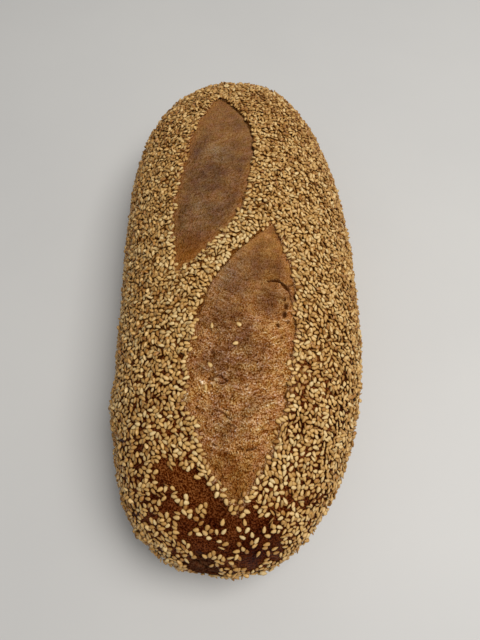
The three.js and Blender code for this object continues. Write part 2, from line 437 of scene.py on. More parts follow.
# %% Where the crumb tore
# A line has X, Y and half its width at each corner, and a spot has X, Y and its size, all in millimetres
TEAR = ((14, -26, -0.2), (17, -25.5, 0.1), (20, -26.5, 0.2), (22, -28.5, 0.1), (23.5, -30, -0.2))
CRACKS = (
    ((23.5, -30, 0), (24, -33, 0), (25, -37, 0)),
    ((22.5, -28.5, 0.2), (25.5, -27, 0.3), (27.5, -26.5, 0)),
    ((-9, -86, 0), (-6.5, -87, 0.1), (-3, -89.5, 0)),
    ((-6, -85, 0), (-3.5, -86.5, 0)),
    ((-4, -91.5, 0), (-0.5, -93, 0)),
    ((1, -88.5, 0), (3.5, -88.5, 0)),
    ((0, -101, 0), (2, -101.5, 0)),
    ((3.5, -102, 0.2), (5.5, -101.5, 0.2), (7.5, -101, 0)),
    ((-10, -99.5, 0.1), (-8.5, -100, 0)),
    ((-12.5, -73, 0), (-7.5, -71.5, 0), (-4.5, -74, 0.1), (-8, -75.5, 0)),
)
PITS = (
    (21.5, -35, 0.7), (22, -38.5, 1), (21, -42.5, 1), (22.5, -46, 0.6), (18, -48, 0.8), (19, -54, 0.6),
    (-11, -61, 0.7), (10, -74.5, 0.4), (18, -73, 0.4), (-16.5, -37, 0.8), (23, -61.5, 0.7),
)
RAGGED = 0.6 * MM  # how far the sides of cracks and pits stray
RAGGED_WAVES = 2.2 * MM
TEAR_WIDTH = 0.7  # in millimetres, with how much it varies
TEAR_WIDTH_VARIES = 0.35
TEAR_WIDTH_WAVES = 5 * MM
CRACK_DEPTH = 0.55  # a crack beside the tear
CRACK_WIDTH = 0.42
PIT_SQUEEZE = 0.7  # pits are longer along the loaf
PIT_RAGGED = 0.5
PIT_WAVES = 1.2 * MM


def torn_depth(x, y):
    """How far cracks and pits sink into the crumb, from 0 to 1, with ragged sides."""
    flat = on_floor(x, y)
    x = x + RAGGED * rough(flat, RAGGED_WAVES, 21.0)
    y = y + RAGGED * rough(flat, RAGGED_WAVES, 22.0)
    width = (TEAR_WIDTH + TEAR_WIDTH_VARIES * rough(flat, TEAR_WIDTH_WAVES, 23.0)) * MM
    depth = bell(np.maximum(from_line(x, y, TEAR), 0), width)
    for line in CRACKS:
        gap = np.maximum(from_line(x, y, line), 0)
        depth = np.maximum(depth, CRACK_DEPTH * bell(gap, CRACK_WIDTH * width))
    ragged = 1 + PIT_RAGGED * rough(flat, PIT_WAVES, 33.0)
    for pit_x, pit_y, size in PITS:
        away = np.hypot(x - pit_x * MM, PIT_SQUEEZE * (y - pit_y * MM)) * ragged
        depth = np.maximum(depth, size * bell(away, size * MM))
    return depth


print("Cracks and pits, with the tear:", len(CRACKS) + len(PITS) + 1)

# %% Where the crumb swelled and stayed pale
RIDGE = ((-2.5, -89, 0), (5, -86, 0), (10, -84.5, 0), (15.5, -82, 0))
RIDGE_RISE = 0.45
RIDGE_WIDTH = 1.3  # in millimetres, with how much it varies
RIDGE_WIDTH_VARIES = 0.8
RIDGE_WAVES = 4 * MM
FLAKE = (-22, -80.5, 2.6)  # torn, and left standing at the edge
POCKETS = (
    (20.5, -31, 2), (19.5, -36, 1.8), (20.5, -45.5, 1.4), (16, -61.5, 1.2),
    (17.5, -77, 1.2), (11.5, -83.5, 1.3), (-10.5, -74, 1.8),
)
POCKET_PALENESS = 0.42
BLOB_RAGGED = 0.5
BLOB_WAVES = 1.6 * MM


def blob(x, y, middle_x, middle_y, size):
    """1 inside a ragged spot, fading to 0 round it."""
    ragged = 1 + BLOB_RAGGED * rough(on_floor(x, y), BLOB_WAVES, 24.0)
    return np.exp(-((np.hypot(x - middle_x * MM, y - middle_y * MM) / (size * MM) * ragged) ** 4))


def swollen(x, y):
    """A low ridge and a flake where the crumb stretched and tore, from 0 to 1."""
    width = (RIDGE_WIDTH + RIDGE_WIDTH_VARIES * rough(on_floor(x, y), RIDGE_WAVES, 25.0)) * MM
    ridge = RIDGE_RISE * bell(from_line(x, y, RIDGE), width)
    return np.maximum(ridge, blob(x, y, *FLAKE))


def pale_crumb(x, y):
    """Where paler crumb shows: the flake, the ridge and a few torn pockets, from 0 to 1."""
    pale = swollen(x, y)
    for pocket in POCKETS:
        pale = np.maximum(pale, POCKET_PALENESS * blob(x, y, *pocket))
    return pale


print("Pale pockets:", len(POCKETS))

# %% How the crumb browned
# A patch has its place lengthwise and crosswise in the slash, its reach both ways and its strength
NEAR_PATCHES = (
    (0.68, 0.38, 0.06, 0.2, -1.0), (0.83, 0.5, 0.05, 0.2, -0.6), (0.7, 0.9, 0.06, 0.2, -1.2),
    (0.7, -0.4, 0.1, 0.35, -0.35), (0.61, -0.38, 0.04, 0.2, -0.3), (0.63, 0.12, 0.035, 0.2, 0.35),
    (0.5, 0.35, 0.05, 0.3, -0.4), (0.35, -0.6, 0.05, 0.22, 0.4), (0.25, -0.35, 0.08, 0.3, 0.5),
    (0.27, -0.65, 0.08, 0.25, 0.5), (0.29, -0.05, 0.04, 0.22, 0.5), (0.16, -0.52, 0.035, 0.25, -0.25),
    (0.24, 0.74, 0.04, 0.22, 0.4), (0.14, 0.05, 0.04, 0.2, 0.4),
)
FAR_PATCHES = (
    (0.8, -0.2, 0.08, 0.35, 0.5), (0.95, 0.5, 0.06, 0.6, 0.6), (0.77, 0.45, 0.05, 0.25, -0.5),
    (0.43, -0.1, 0.05, 0.3, -0.4), (0.32, 0.0, 0.06, 0.3, 0.5), (0.15, -0.8, 0.12, 0.4, -0.5),
)
NEAR_FLOUR = ((0.77, -0.85, 0.1, 0.5, 1.0),)
FAR_FLOUR = ((0.58, -0.09, 0.05, 0.28, 0.9), (0.29, -0.15, 0.05, 0.2, 0.5))
FLOUR_LEVEL = (-0.7, 0.2)
FLOUR_WAVES = 6 * MM
NEAR_DUSK = -0.25  # the near slash is dusky in its middle
NEAR_DUSK_PLACE = -0.15  # a little to the left
EDGE_TAN = 0.9  # and tan towards both edges
EDGE_TAN_POWER = 1.5
RIGHT_TAN = 0.5  # more so on the right, towards the near tip
RIGHT_TAN_PART = (0.7, 0.45)
TIP_TAN = 0.7  # and at the far tip
TIP_TAN_PART = (0.8, 0.95)
FAR_RIGHT_TAN = 0.2  # the far slash is tan on the right
FAR_TIP_TAN = 0.9  # and towards its far tip


def patches(lengthwise, crosswise, spots):
    """Soft patches added up."""
    return sum(
        strength * np.exp(-(((lengthwise - at) / reach) ** 2) - ((crosswise - aside) / wide) ** 2)
        for at, aside, reach, wide, strength in spots
    )


def near_warmth(lengthwise, crosswise):
    """Broad browning of the near slash: above 0 it is tan and below 0 dusky."""
    both_edges = EDGE_TAN * np.abs(crosswise - NEAR_DUSK_PLACE) ** EDGE_TAN_POWER
    right_half = RIGHT_TAN * crosswise * ramp(*RIGHT_TAN_PART, lengthwise)
    far_tip = TIP_TAN * ramp(*TIP_TAN_PART, lengthwise)
    return both_edges + right_half + far_tip + NEAR_DUSK + patches(lengthwise, crosswise, NEAR_PATCHES)


def far_warmth(lengthwise, crosswise):
    """Broad browning of the far slash, which is dusky towards its near tip."""
    broad = FAR_RIGHT_TAN * crosswise + FAR_TIP_TAN * (lengthwise - 0.5)
    return broad + patches(lengthwise, crosswise, FAR_PATCHES)


def floury_crumb(lengthwise, crosswise, flour, flat):
    """Where flour from the outside clings to the crumb, in broken patches."""
    return patches(lengthwise, crosswise, flour) * ramp(*FLOUR_LEVEL, rough(flat, FLOUR_WAVES, 18.0))


print("Warmth in the middle of both slashes:", near_warmth(0.5, 0.0).round(2), far_warmth(0.5, 0.0).round(2))

# %% The crumb's grain and relief
# Each layer of grain has its strength, its size and the shift of its noise
FIBRES = ((0.5, 1.5 * MM, 14.0), (0.5, 0.7 * MM, 16.0))
SPECKS = ((0.15, 0.8 * MM, 7.0), (0.25, 2.8 * MM, 6.0))
COARSE_FIBRES = (0.35, 2.2 * MM, 26.0)
COARSE_PART = (0.6, 0.35)  # coarse fibres show towards the near tip
FIBRE_BOW = 36 * MM  # radius of the bowed lines in which the crumb stretched
FIBRE_STRETCH = 4
SINGLE_GRAINS = 0.4
GRAIN_RISE = 0.3 * MM
CRUMB_SWELL = 0.5 * MM
SWELL_SIZE = 13 * MM
CRUMB_BUMP = 0.3 * MM
BUMP_SIZE = 4 * MM
PORE_DEPTH = 0.42
PORE_LEVEL = (0.36, 0.58)
PORE_SIZE = 0.95 * MM
PORE_PART = (0.8, 0.5)  # pores show towards the near tip
grain_draw = np.random.default_rng(7)


def fibres(offset, y, size, shift):
    """Noise drawn out along bowed lines."""
    bowed = np.stack([offset / FIBRE_STRETCH, y - offset**2 / (2 * FIBRE_BOW), 0 * y], axis=-1)
    return rough(bowed, size, shift)


def crumb_grain(flat, offset, lengthwise):
    """Fibres, specks and single grains, about -1 to 1."""
    y = flat[..., 1]
    grain = 0
    for strength, size, shift in FIBRES:
        grain = grain + strength * fibres(offset, y, size, shift)
    for strength, size, shift in SPECKS:
        grain = grain + strength * rough(flat, size, shift)
    strength, size, shift = COARSE_FIBRES
    grain = grain + strength * fibres(offset, y, size, shift) * ramp(*COARSE_PART, lengthwise)
    return grain + SINGLE_GRAINS * grain_draw.standard_normal(lengthwise.shape)


def crumb_relief(flat, grain):
    """How far swells, bumps and grain lift the crumb."""
    swell = CRUMB_SWELL * rough(flat, SWELL_SIZE, 1.0)
    return swell + CRUMB_BUMP * rough(flat, BUMP_SIZE, 4.0) + GRAIN_RISE * grain


def pores(flat, lengthwise):
    """Small open pores, from 0 to 1."""
    return PORE_DEPTH * ramp(*PORE_LEVEL, rough(flat, PORE_SIZE, 31.0)) * ramp(*PORE_PART, lengthwise)


print("Layers of grain:", len(FIBRES) + len(SPECKS) + 2)

# %% The crumb's top
UNDERLAP = 3.6 * MM  # how far the crumb runs under the skin
UNDERLAP_SLOPE = 1.2
MIDDLE_DROP = 0.15 * MM  # below the skin's level in the middle of a slash
EDGE_DROP = 0.55 * MM
EDGE_REACH = 1.2 * MM
EAR_DROP = 1.5 * MM  # deeper still along the edge that lifted most
EAR_REACH = 0.8 * MM
TORN_DROP = 2.0 * MM
SWOLLEN_RISE = 1.0 * MM
EAR_SHADE = 0.85  # the crease under that edge gets painted shade this dark
EAR_CREASE = 0.35 * MM  # and this wide
CRUMB_RIM = 3 * MM  # the other edges are light about this far in
RIM_SHADE = 0.85  # but not beside the tear
SHADE_MIDDLE = -37 * MM
SHADE_REACH = 7 * MM
SHADE_SIDE = (0.5, 0.8)


def crumb_places(slash, rows, columns):
    """Lengthwise and crosswise places of the top, its offset from the line of tips, and X and Y."""
    start, direction, right, length = slash_axes(slash)
    lengthwise, crosswise = np.meshgrid(np.linspace(0, 1, rows), np.linspace(-1, 1, columns), indexing="ij")
    middle, half = slash_opening(slash, lengthwise)
    offset = middle + crosswise * (half + UNDERLAP)
    x = start[0] + direction[0] * length * lengthwise + right[0] * offset
    y = start[1] + direction[1] * length * lengthwise + right[1] * offset
    return lengthwise, crosswise, offset, x, y


def crumb_drop(outside, ear):
    """How far the top lies below the skin's level."""
    inwards = np.minimum(outside, 0)
    drop = MIDDLE_DROP + EDGE_DROP * np.exp(inwards / EDGE_REACH) + UNDERLAP_SLOPE * np.maximum(outside, 0)
    return drop + EAR_DROP * ear * np.exp(inwards / EAR_REACH)


def crumb_grid(slash, warmth, flour, steps):
    """Points of the crumb's top, with what the material needs to know about each."""
    lengthwise, crosswise, offset, x, y = crumb_places(slash, *steps)
    flat = on_floor(x, y)
    outside = outside_slashes(x, y)
    inwards = np.minimum(outside, 0)
    ear = ear_share(slash, lengthwise, crosswise)
    grain = crumb_grain(flat, offset, lengthwise)
    torn = np.maximum(torn_depth(x, y), pores(flat, lengthwise))
    height = crust_height(x, y) - COAT - crumb_drop(outside, ear) + crumb_relief(flat, grain)
    height = height - TORN_DROP * torn + SWOLLEN_RISE * swollen(x, y)
    shaded = RIM_SHADE * bell(y - SHADE_MIDDLE, SHADE_REACH) * ramp(*SHADE_SIDE, crosswise)
    facts = {
        "edge": np.exp(inwards / CRUMB_RIM) * (1 - ear) * (1 - shaded),
        "warmth": warmth(lengthwise, crosswise),
        "along": lengthwise,
        # cracks, pits, pores and the crease under the lifted edge get painted shade
        "torn": np.maximum(torn, EAR_SHADE * ear * np.exp(inwards / EAR_CREASE)),
        "grain": 0.5 + 0.5 * grain,
        "pale": pale_crumb(x, y),
        "floury": floury_crumb(lengthwise, crosswise, flour, flat),
    }
    return np.stack([x, y, height], axis=-1), facts


print(f"The crumb runs {UNDERLAP / MM:.1f} mm under the skin")

# %% Lay the crumb in both slashes
NEAR_STEPS = (400, 150)  # rows and columns, finer in the slash that is seen from close by
FAR_STEPS = (240, 90)
CRUMB_BOTTOM = 9 * MM


def lay_crumb(name, slash, warmth, flour, steps):
    """The crumb of one slash as a closed piece: its top, and one line of points below."""
    top, facts = crumb_grid(slash, warmth, flour, steps)
    below = top[:, steps[1] // 2, :] - np.array([0, 0, CRUMB_BOTTOM])
    points = np.concatenate([top, below[:, None, :]], axis=1)
    rows, columns = points.shape[:2]
    faces = tube_faces(rows, columns)
    first, final = columns - 1, rows * columns - 1
    faces += [[first, i + 1, i] for i in range(columns - 2)]
    faces += [[final, final - first + i, final - first + i + 1] for i in range(columns - 2)]
    piece = make_piece(name, points, faces)
    for fact, values in facts.items():
        paint(piece, fact, np.append(values, np.zeros((rows, 1)), axis=1))
    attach(piece, "root")
    print(f"{name}: {len(piece.data.polygons)} faces")
    return piece


near_crumb = lay_crumb("near_slash_crumb", SLASHES["near"], near_warmth, NEAR_FLOUR, NEAR_STEPS)
far_crumb = lay_crumb("far_slash_crumb", SLASHES["far"], far_warmth, FAR_FLOUR, FAR_STEPS)

# %% [markdown]
# ## Where the seeds stick
# The damp loaf was rolled in sesame, so seeds cover it nearly edge to edge, except in the slashes, which
# were cut later, and where the dough stretched at the near end. Particles could scatter them, but they are
# lost on export, so places are drawn at random on the formula and kept or dropped by a map of coverage.

# %% Thin and bare places
# X, Y and two radii of each oval in millimetres, and the share of seeds left in a thin one
THIN = (
    (-2, -138, 26, 15, 0.45), (-28, -125, 17, 17, 0.62), (24, -128, 17, 16, 0.8), (-46, -104, 14, 20, 0.75),
)
BARE = (
    (6.5, -129, 3.8, 3.2), (-28.5, -123, 3, 2.2), (-21.5, -130.5, 2.8, 3.2),
    (-15, -138.5, 4, 2.4), (5, -143, 4, 2.4), (10.5, -132, 4.2, 3.4),
)
STREAK_STRAY = 0.6 * MM  # how far the rims of the streak and of bare ovals stray
BARE_STRAY = 0.8 * MM


def oval(points, middle_x, middle_y, radius_x, radius_y):
    """Distance from the middle of an oval on the floor, 1 on its rim."""
    return np.hypot((points[..., 0] / MM - middle_x) / radius_x, (points[..., 1] / MM - middle_y) / radius_y)


def thinned(points):
    """Share of the seeds left where the dough stretched at the near end."""
    share = np.ones(points.shape[:-1])
    for *shape, left in THIN:
        share = share * (1 - (1 - left) * np.exp(-(oval(points, *shape) ** 4)))
    return share


def from_bare(points, patch):
    """Distance outside the streak and the bare ovals; patchy noise makes their rims stray."""
    nearest = from_line(points[..., 0], points[..., 1], STREAK) + STREAK_STRAY * patch
    for shape in BARE:
        distance = (oval(points, *shape) - 1) * min(shape[2:]) * MM
        nearest = np.minimum(nearest, distance + BARE_STRAY * patch)
    return nearest


print("Thin places:", len(THIN), "and bare ones:", len(BARE) + 1)

# %% A map of seed coverage
SEED_FLOOR = (5 * MM, 15 * MM)  # seeds thin out between these heights above the floor
FLOOR_STRAY = 4 * MM
TOP_HEIGHT = BELLY_HEIGHT + 8 * MM  # slashes and bare places are all above this height
PATCH_SIZE = 9 * MM
CLUSTER_SIZE = 5 * MM
CLUSTER_LEVEL = (-0.25, 0.3)
CLUSTER_GAIN = 0.95  # where the coat is thin, the seeds huddle
CLUSTER_LOSS = 0.5
OVERHANG = 0.9 * MM  # how far seeds hang over the edge of a slash
OVERHANG_MEAN = 0.4  # on average, as a share of that, with how much it varies
OVERHANG_VARIES = 1.6
OVERHANG_WAVES = 3 * MM
EAR_OVERHANG = 0.35 * MM
BARE_RIM = (-0.5 * MM, 1.5 * MM)
BARE_COVER = 0.03
FOLD_RANGE = (0.25, 0.6)
FOLD_LOSS = 0.97


def over_slash(points):
    """Whether a place lies inside a slash, further than seeds hang over its edge."""
    x, y = points[..., 0], points[..., 1]
    ears = ears_near(x, y)
    overhang = OVERHANG * (OVERHANG_MEAN + OVERHANG_VARIES * rough(points, OVERHANG_WAVES, 12.0))
    return outside_slashes(x, y) + (overhang * (1 - ears) + EAR_OVERHANG * ears) < 0


def coverage(points):
    """Share of a full coat that stuck at each point, from 0 to 1."""
    height = points[..., 2]
    patch = rough(points, PATCH_SIZE, 11.0)
    cluster = ramp(*CLUSTER_LEVEL, rough(points, CLUSTER_SIZE, 13.0))
    cover = ramp(*SEED_FLOOR, height + FLOOR_STRAY * patch)
    top = height > TOP_HEIGHT
    cover = np.where(top & over_slash(points), 0, cover)
    share = thinned(points)
    cover = cover * share * (1 + (1 - share) * (CLUSTER_GAIN * cluster - CLUSTER_LOSS))
    clear = np.maximum(ramp(*BARE_RIM, from_bare(points, patch)), BARE_COVER)
    cover = np.where(top, cover * clear, cover)
    return cover * (1 - FOLD_LOSS * ramp(*FOLD_RANGE, pinched_end(points)))


sample = crust_points(np.array([-0.9, -0.5, 0.0]), np.array([1.6, 0.4, 0.3]))
print("Coverage at the near end, a shoulder and a side:", np.round(coverage(sample), 2))

# %% Draw places at random
CANDIDATES = 190000
CHANCE_ROWS = 401
CHANCE_COLUMNS = 500
draw = np.random.default_rng(11)


def random_places(count):
    """Places on the crust with an equal chance for every bit of its area."""
    turn = np.linspace(0, np.pi, CHANCE_ROWS)[1:-1, None]
    angle = np.linspace(-0.5 * np.pi, 1.5 * np.pi, CHANCE_COLUMNS)[None, :]
    turn_step, angle_step = turn[1, 0] - turn[0, 0], angle[0, 1] - angle[0, 0]
    here = crust_points(-np.cos(turn), angle)
    ahead = crust_points(-np.cos(turn + turn_step), angle) - here
    round_it = crust_points(-np.cos(turn), angle + angle_step) - here
    area = np.linalg.norm(np.cross(ahead, round_it), axis=-1)
    cell = draw.choice(area.size, size=count, p=area.ravel() / area.sum())
    row, column = np.unravel_index(cell, area.shape)
    along = -np.cos(turn[row, 0] + turn_step * draw.random(count))
    return along, angle[0, column] + angle_step * draw.random(count)


seed_along, seed_angle = random_places(CANDIDATES)
places = crust_points(seed_along, seed_angle)
print("Candidates:", len(places))

# %% Keep those that fit side by side
SEED_GAP = 1.56 * MM  # closest middles of two seeds in the coat
CLOSER = 0.1  # they lie closer, by this share, towards the far end
CLOSER_PART = (-70 * MM, 0)
OPENER = 0.35  # and further apart where the coat is thin
NEIGHBOURS = [(i, j, k) for i in (-1, 0, 1) for j in (-1, 0, 1) for k in (-1, 0, 1)]


def close_by(cells, key):
    """Goes through what is kept in a cell of space and in the cells round it."""
    for i, j, k in NEIGHBOURS:
        yield from cells.get((key[0] + i, key[1] + j, key[2] + k), ())


def spread_out(points, gaps):
    """Indices of points that keep their gap from all those kept before them."""
    cells = {}
    kept = []
    keys = np.floor(points / np.max(gaps)).astype(int).tolist()
    for i, (key, place, gap) in enumerate(zip(keys, points.tolist(), gaps.tolist())):
        if all(math.dist(place, other) > gap for other in close_by(cells, key)):
            cells.setdefault(tuple(key), []).append(place)
            kept.append(i)
    return np.array(kept)


spacing = 1 - CLOSER * ramp(*CLOSER_PART, places[:, 1])
spacing = spacing * (1 + OPENER * (1 - thinned(places)))
kept = spread_out(places, SEED_GAP * spacing)
chance = coverage(places[kept]) * np.maximum(spacing[kept], 1) ** 2
kept = kept[draw.random(len(kept)) < chance]
places = places[kept]
seed_normals = crust_normals(seed_along[kept], seed_angle[kept])
print("Seeds in the coat:", len(places))

# %% Add a few strays on the crumb and the bare crust
# X and Y in millimetres
STRAYS = (
    (-1, -57.5), (-12, -67), (-11.5, -49), (0.5, -48.5), (-13.5, -77), (22.5, -65.5),
    (-4.5, -121.5), (2, -126.5), (3, -129), (0.5, -131.5), (4, -132), (2, -134.5),
    (-5.5, -132.5), (-6, -129), (11, -131.5), (12.4, -133.8),
)
STRAY_ROOM = 2.4 * MM  # no other seed's middle is closer
HEIGHT_PROBE = 0.5 * MM


def on_top(x, y):
    """Points of the crust straight above places on the floor, and their outward directions."""
    slope_x, slope_y = slopes_at(crust_height, x, y, HEIGHT_PROBE)
    normal = np.stack([-slope_x, -slope_y, np.ones_like(x)], axis=-1)
    points = np.stack([x, y, crust_height(x, y)], axis=-1)
    return points, normal / np.linalg.norm(normal, axis=-1, keepdims=True)


stray_places, stray_normals = on_top(*(np.array(STRAYS).T * MM))
crowding = np.linalg.norm(places[:, None] - stray_places[None], axis=-1).min(axis=1)
places = np.concatenate([places[crowding > STRAY_ROOM], stray_places])
seed_normals = np.concatenate([seed_normals[crowding > STRAY_ROOM], stray_normals])
count = len(places)
print("With strays:", count)

# %% [markdown]
# ## How each seed lies
# Seeds lie flat, but in a crowd they shoulder each other: some tip up, lean over or stand on edge. A rigid
# body simulation of thousands would be slow. Here the seeds drop one after another, each as three beads in a
# row: it tries several headings, takes the one with least below it, and rests on what is there.

# %% Drop the seeds one after another
SEED_LENGTH = 3.0 * MM
SEED_WIDTH = 1.95 * MM
SEED_THICKNESS = 0.86 * MM
HEADINGS = 8
BEADS = np.array([-0.9, 0.0, 0.9]) * MM
BEAD_REACH = 1.4 * MM
CELL_SIDE = 3.4 * MM  # neighbours further off than this can't touch
STEEPEST = 0.6
HIGHEST = 1.0 * MM
UP = np.array([0.0, 0.0, 1.0])
NUDGE = np.array([1e-6, 0, 0])  # gives a level place a sideways direction too


def pile_height(own, others, tops):
    """Height of the seeds that already lie under each bead of each heading."""
    gaps = np.linalg.norm(own[:, :, None, :] - others.reshape(1, 1, -1, 3), axis=-1)
    bulge = np.sqrt(np.clip(1 - (gaps / BEAD_REACH) ** 2, 0, 1))
    return np.where(bulge > 0, tops.reshape(1, 1, -1) + SEED_THICKNESS * bulge, 0).max(axis=2)


def settle(points, normals):
    """A heading, a slope along it and a height above the skin for each seed."""
    sideways = np.cross(normals, UP) + NUDGE
    sideways /= np.linalg.norm(sideways, axis=1, keepdims=True)
    lengthways = np.cross(normals, sideways)
    turns = 2 * np.pi * draw.random((len(points), HEADINGS))
    keys = np.floor(points / CELL_SIDE).astype(int).tolist()
    cells = {}
    beads = np.zeros((len(points), len(BEADS), 3))
    tops = np.zeros((len(points), len(BEADS)))
    headings = np.zeros_like(points)
    slopes = np.zeros(len(points))
    levels = np.zeros(len(points))
    for i, key in enumerate(keys):
        tries = np.cos(turns[i])[:, None] * sideways[i] + np.sin(turns[i])[:, None] * lengthways[i]
        near = list(close_by(cells, key))
        best, below = 0, np.zeros(len(BEADS))
        if near:
            under = pile_height(points[i] + tries[:, None, :] * BEADS[None, :, None], beads[near], tops[near])
            best = int(np.argmin(under.mean(axis=1)))
            below = under[best]
        slopes[i] = np.clip((below[2] - below[0]) / (BEADS[2] - BEADS[0]), -STEEPEST, STEEPEST)
        levels[i] = min(max(below[1], (below[0] + below[2]) / 2), HIGHEST)
        headings[i] = tries[best]
        beads[i] = points[i] + headings[i] * BEADS[:, None]
        tops[i] = levels[i] + slopes[i] * BEADS
        cells.setdefault(tuple(key), []).append(i)
    return headings, slopes, levels


headings, slopes, levels = settle(places, seed_normals)
print(f"Seeds resting on others: {np.mean(levels > 0.2 * MM):.0%}")

# %% Tip them over and seat them on the skin
SIZE_VARIES = 0.08
SIZE_LIMITS = (0.8, 1.2)
CROWDED = 0.45 * MM  # a seed that rests this high lies in a crowd
PITCH_VARIES = 0.08
ROLL_VARIES = 0.12
CROWD_ROLL = 0.22
ON_EDGE_SHARE = 0.35  # of the crowded seeds
ON_EDGE_ROLL = (0.8, 1.4)
ON_EDGE_SINK = 0.4  # seeds on edge sink between the others
SEAT = 0.42  # a seed's middle stands this share of its height, as it lies, above what is below


def skin_height(points, normals):
    """How far the finished skin, with its lips and its fold, stands above the smooth form."""
    outside = outside_slashes(points[..., 0], points[..., 1])
    lip = np.where(outside > 0, LIP_RISE * np.exp(-np.maximum(outside, 0) / LIP_REACH), -MIDDLE_DROP)
    folded = skin_lift(points) - FOLD_DEPTH * pinched_end(points)
    return folded + np.where(normals[..., 2] > UPWARDS, lip, 0)


seed_size = np.clip(1 + SIZE_VARIES * draw.standard_normal((count, 3)), *SIZE_LIMITS)
seed_size = seed_size * np.array([SEED_LENGTH, SEED_WIDTH, SEED_THICKNESS])
crowd = np.clip(levels / CROWDED, 0, 2)
pitch = np.arctan(slopes) + PITCH_VARIES * draw.standard_normal(count)
roll = (ROLL_VARIES + CROWD_ROLL * crowd) * draw.standard_normal(count)
standing = (draw.random(count) < ON_EDGE_SHARE) & (levels > CROWDED)
roll = np.where(standing, draw.choice([-1, 1], count) * draw.uniform(*ON_EDGE_ROLL, count), roll)
levels = np.where(standing, ON_EDGE_SINK * levels, levels)
stand = SEAT * np.hypot(seed_size[:, 2] * np.cos(roll), seed_size[:, 1] * np.sin(roll)) + levels
seats = places + seed_normals * (skin_height(places, seed_normals) + stand)[:, None]
print(f"Seeds on edge: {standing.mean():.1%}")

# %% [markdown]
# ## The seeds
# A sesame seed is a flat teardrop about 3 mm long. One could be modelled and instanced, but instances are
# lost on export too. So one low mesh of it is copied by array arithmetic into every seat and joined, in five
# pieces by how far the seeds toasted: each piece has its own colours, and none grows too large.

# %% One teardrop
SEED_ROWS = 4
SEED_SIDES = 8
POINT_TAPER = 0.26  # slimmer towards the point
POINT_PINCH = 0.22  # and pinched in close to it
DISH = 0.14  # both faces are flatter than an oval by this share
POINT_REACH = 0.52  # the point lies this far from the middle, and the blunt end half a length
END_RIMS_AND_SHADE = (0.9, 1.0)  # both ends brown like the rim, partly their own colour and partly painted shade


def teardrop():
    """Points and triangles of a seed of unit length, width and thickness, its point towards +X."""
    row = np.linspace(0, np.pi, SEED_ROWS + 1)[1:-1, None]
    turn = np.linspace(0, 2 * np.pi, SEED_SIDES, endpoint=False)[None, :]
    x = -np.cos(row)
    girth = np.sin(row) * (1 - POINT_TAPER * x) * (1 - POINT_PINCH * np.maximum(x, 0) ** 2)
    dished = 1 - DISH * np.abs(np.sin(turn)) ** 4
    y = 0.5 * girth * np.cos(turn)
    z = 0.5 * girth * np.sin(turn) * dished
    belt = np.stack([0.5 * x + 0 * turn, y, z], axis=-1)
    points = np.concatenate([belt.reshape(-1, 3), [[-0.5, 0, 0], [POINT_REACH, 0, 0]]])
    # the rim browns the sides and ends, partly the seed's own colour and partly painted shade where they turn
    # away
    rim = np.append(np.abs(np.cos(turn)) + 0 * x, END_RIMS_AND_SHADE)
    quads = np.array(tube_faces(SEED_ROWS - 1, SEED_SIDES))
    blunt, point = len(points) - 2, len(points) - 1
    ring = np.arange(SEED_SIDES)
    after = (ring + 1) % SEED_SIDES
    final = (SEED_ROWS - 2) * SEED_SIDES
    blunt_cap = np.stack([0 * ring + blunt, after, ring], axis=1)
    point_cap = np.stack([0 * ring + point, final + ring, final + after], axis=1)
    faces = np.concatenate([quads[:, [0, 1, 2]], quads[:, [0, 2, 3]], blunt_cap, point_cap])
    return points, faces, rim


seed_points, seed_faces, seed_rim_and_shade = teardrop()
print("One seed:", len(seed_points), "points,", len(seed_faces), "triangles")

# %% Copy it into every seat
def plant(name, chosen, tones):
    """The chosen seeds as one joined mesh, with a tone for each seed and the place along it."""
    cos_p, sin_p = np.cos(pitch[chosen]), np.sin(pitch[chosen])
    cos_r, sin_r = np.cos(roll[chosen]), np.sin(roll[chosen])
    forward, up = headings[chosen], seed_normals[chosen]
    side = np.cross(up, forward)
    nose = forward * cos_p[:, None] + up * sin_p[:, None]
    crown = up * cos_p[:, None] - forward * sin_p[:, None]
    wing = side * cos_r[:, None] + crown * sin_r[:, None]
    crown = crown * cos_r[:, None] - side * sin_r[:, None]
    local = seed_points[None, :, :] * seed_size[chosen][:, None, :]
    axes = np.stack([nose, wing, crown], axis=1)
    points = np.einsum("npk,nkx->npx", local, axes) + seats[chosen][:, None, :]
    start = np.arange(len(points))[:, None, None] * len(seed_points)
    faces = (seed_faces[None, :, :] + start).reshape(-1, 3).tolist()
    piece = make_piece(name, points, faces)
    paint(piece, "tone", np.repeat(tones[chosen], len(seed_points)))
    paint(piece, "tip", np.tile(seed_points[:, 0] + 0.5, len(points)))
    paint(piece, "rim", np.tile(seed_rim_and_shade, len(points)))
    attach(piece, "root")
    print(f"{name}: {len(points)} seeds, {len(faces)} triangles")
    return piece


print("Seats ready:", len(seats))

# %% Sort the seeds by how far they toasted
# Each piece takes this share of an evenly toasted coat, from the palest to the brownest
KINDS = {
    "sesame_cream": 0.14,
    "sesame_pale": 0.24,
    "sesame_golden": 0.3,
    "sesame_toasted": 0.25,
    "sesame_amber": 0.07,
}
PATCHY = 0.15  # the oven's heat was uneven
PATCHY_SIZE = 28 * MM
CREST = (-3, -6, 26, 15)  # an oval on the crest between the slashes, in millimetres
CREST_PALER = 0.4
FAR_BROWNER = 0.14  # the far end toasted more
FAR_END = (0, 80 * MM)
STRAY_TOAST = 0.5  # the strays are pale

toast = draw.random(count) + PATCHY * rough(places, PATCHY_SIZE, 15.0)
toast = toast - CREST_PALER * np.exp(-(oval(places, *CREST) ** 2))
toast = toast + FAR_BROWNER * ramp(*FAR_END, places[:, 1])
toast = np.clip(toast, 0, 0.999)
toast[-len(STRAYS):] *= STRAY_TOAST
tones = draw.random(count)
limits = np.cumsum([0, *KINDS.values()])
seeds = {}
for name, low, high in zip(KINDS, limits, limits[1:]):
    seeds[name] = plant(name, np.flatnonzero((toast >= low) & (toast < high)), tones)

